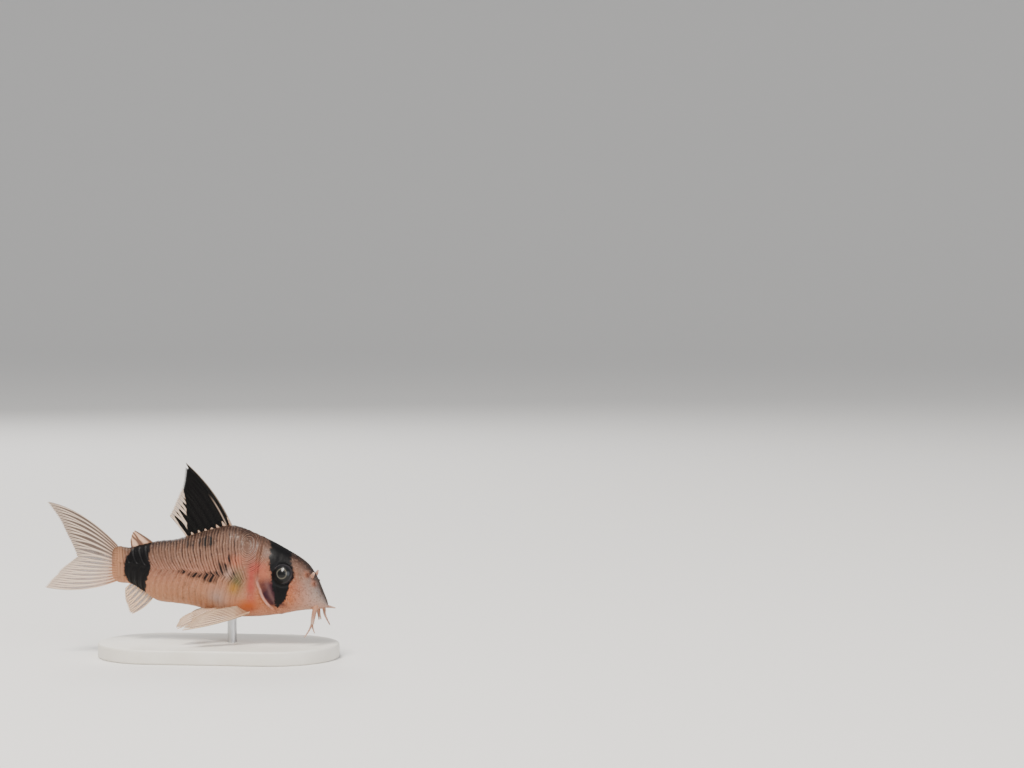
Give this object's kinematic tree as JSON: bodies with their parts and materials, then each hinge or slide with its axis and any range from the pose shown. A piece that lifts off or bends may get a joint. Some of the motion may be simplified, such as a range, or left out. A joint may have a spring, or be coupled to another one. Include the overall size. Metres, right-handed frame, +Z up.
{
  "type": "corydoras catfish",
  "caption": "Small armoured catfish with rows of flank scutes, black mask and tail blotch, barbels and fanned fins, held in its swimming pose on a low stand.",
  "frame": {"origin": "middle of the stand's flat underside", "axes": "+X from the tail to the head, +Y to the fish's left, +Z up, away from the surface the stand rests on"},
  "size_m": [0.0515, 0.022, 0.0336],
  "materials": {
    "skin": "painted fish skin, pinkish tan with black mask and tail blotch, wet satin gloss",
    "dorsal_fin": "black fin membrane with a thin pale stripe, clear towards the rear",
    "fin": "thin cream fin membrane, partly see-through, with darker rays",
    "barbel": "soft pinkish feelers",
    "eye": "polished black eye with a thin golden ring",
    "stand_rod": "satin steel rod",
    "stand_base": "plain pale satin plinth"
  },
  "bodies": {
    "root": {"head": "skin", "trunk": "skin", "tail": "skin", "eye_right": "eye", "eye_left": "eye", "dorsal_fin": "dorsal_fin", "adipose_fin": "fin", "tail_fin": "fin", "anal_fin": "fin", "pelvic_fin_right": "fin", "pelvic_fin_left": "fin", "pectoral_fin_right": "fin", "pectoral_fin_left": "fin", "barbels_right": "barbel", "barbel_chin_right": "barbel", "barbels_left": "barbel", "barbel_chin_left": "barbel", "stand_rod": "stand_rod", "stand_base": "stand_base"}
  },
  "joints": []
}
